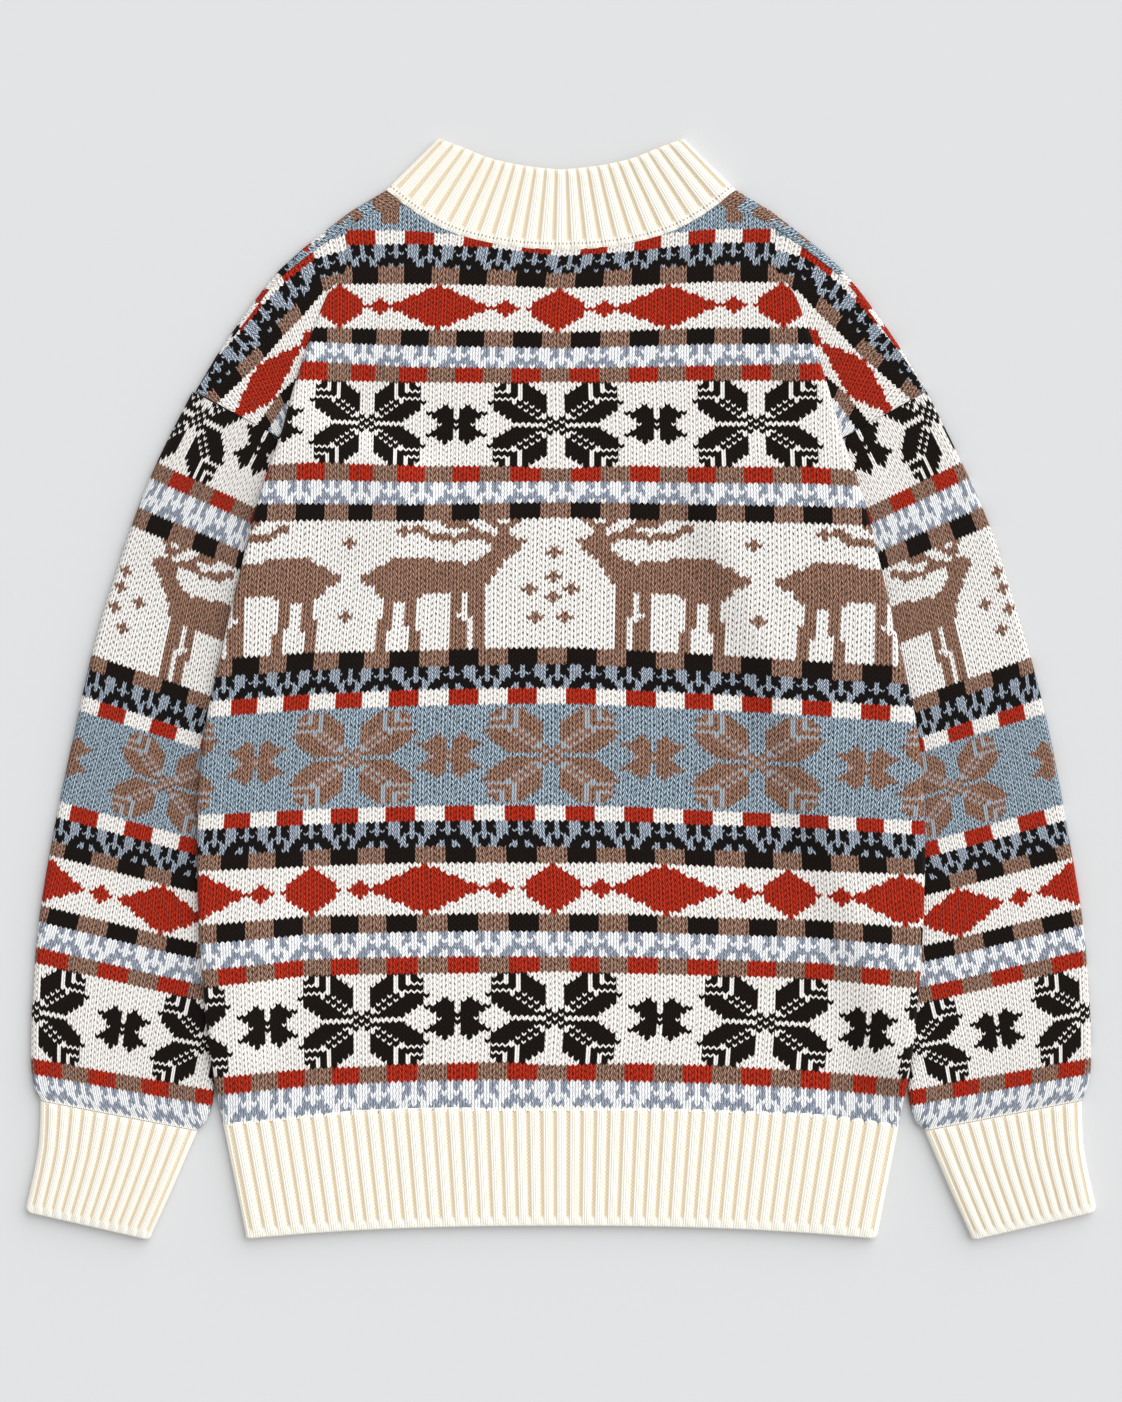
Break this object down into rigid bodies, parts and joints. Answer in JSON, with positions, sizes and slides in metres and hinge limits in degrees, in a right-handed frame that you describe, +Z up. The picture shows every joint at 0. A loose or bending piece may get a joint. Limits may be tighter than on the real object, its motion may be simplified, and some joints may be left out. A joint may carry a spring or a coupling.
{
  "type": "christmas sweater",
  "caption": "Knitted pullover laid flat on its front, with dropped shoulders, wide sleeves and a ribbed collar, hem and cuffs.",
  "frame": {"origin": "on the underside, in the middle of the outline", "axes": "+Z up out of the back of the garment, +Y towards the neck, +X towards the wearer's right sleeve"},
  "size_m": [0.7446, 0.7717, 0.0141],
  "materials": {
    "patterned_knit": "jacquard knit in black, white, red, taupe and blue yarn, matt and slightly fuzzy",
    "ribbed_knit": "cream ribbed knit, matt"
  },
  "bodies": {
    "root": {"back_panel": "patterned_knit", "front_panel": "patterned_knit", "left_sleeve": "patterned_knit", "right_sleeve": "patterned_knit", "collar": "ribbed_knit", "hem_rib": "ribbed_knit", "left_cuff": "ribbed_knit", "right_cuff": "ribbed_knit"}
  },
  "joints": []
}
